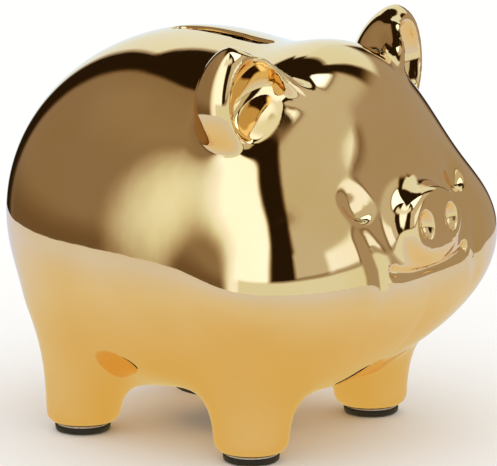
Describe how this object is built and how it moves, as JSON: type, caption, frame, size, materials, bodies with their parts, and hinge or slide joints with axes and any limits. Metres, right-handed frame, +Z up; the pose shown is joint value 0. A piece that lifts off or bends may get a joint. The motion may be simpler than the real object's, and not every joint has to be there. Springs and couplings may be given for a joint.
{
  "type": "piggy bank",
  "caption": "Hollow ceramic pig with a coin slot in the back, cupped ears, rubber foot pads and a pull-out stopper under the belly.",
  "frame": {"origin": "on the floor under the middle of the bank's bounding box; Z = 0 is the underside of the pads", "axes": "+Z up, the nose points along -Y, +X is the pig's left"},
  "size_m": [0.1258, 0.1476, 0.1265],
  "materials": {
    "gold_glaze": "mirror gold lustre over glaze",
    "stopper_rubber": "matt black",
    "pad_rubber": "matt black",
    "adhesive": "foam adhesive disc"
  },
  "bodies": {
    "bank": {"body_shell": "gold_glaze", "ear_left": "gold_glaze", "ear_right": "gold_glaze", "tail": "gold_glaze", "foot_pad_front_left": "pad_rubber", "foot_pad_front_right": "pad_rubber", "foot_pad_rear_left": "pad_rubber", "foot_pad_rear_right": "pad_rubber", "pad_glue_front_left": "adhesive", "pad_glue_front_right": "adhesive", "pad_glue_rear_left": "adhesive", "pad_glue_rear_right": "adhesive"},
    "stopper": {"belly_stopper": "stopper_rubber"}
  },
  "joints": [
    {"name": "stopper_pull", "type": "slide", "parent": "bank", "child": "stopper", "axis": [0, 0, -1], "range_m": [0, 0.0085]}
  ]
}
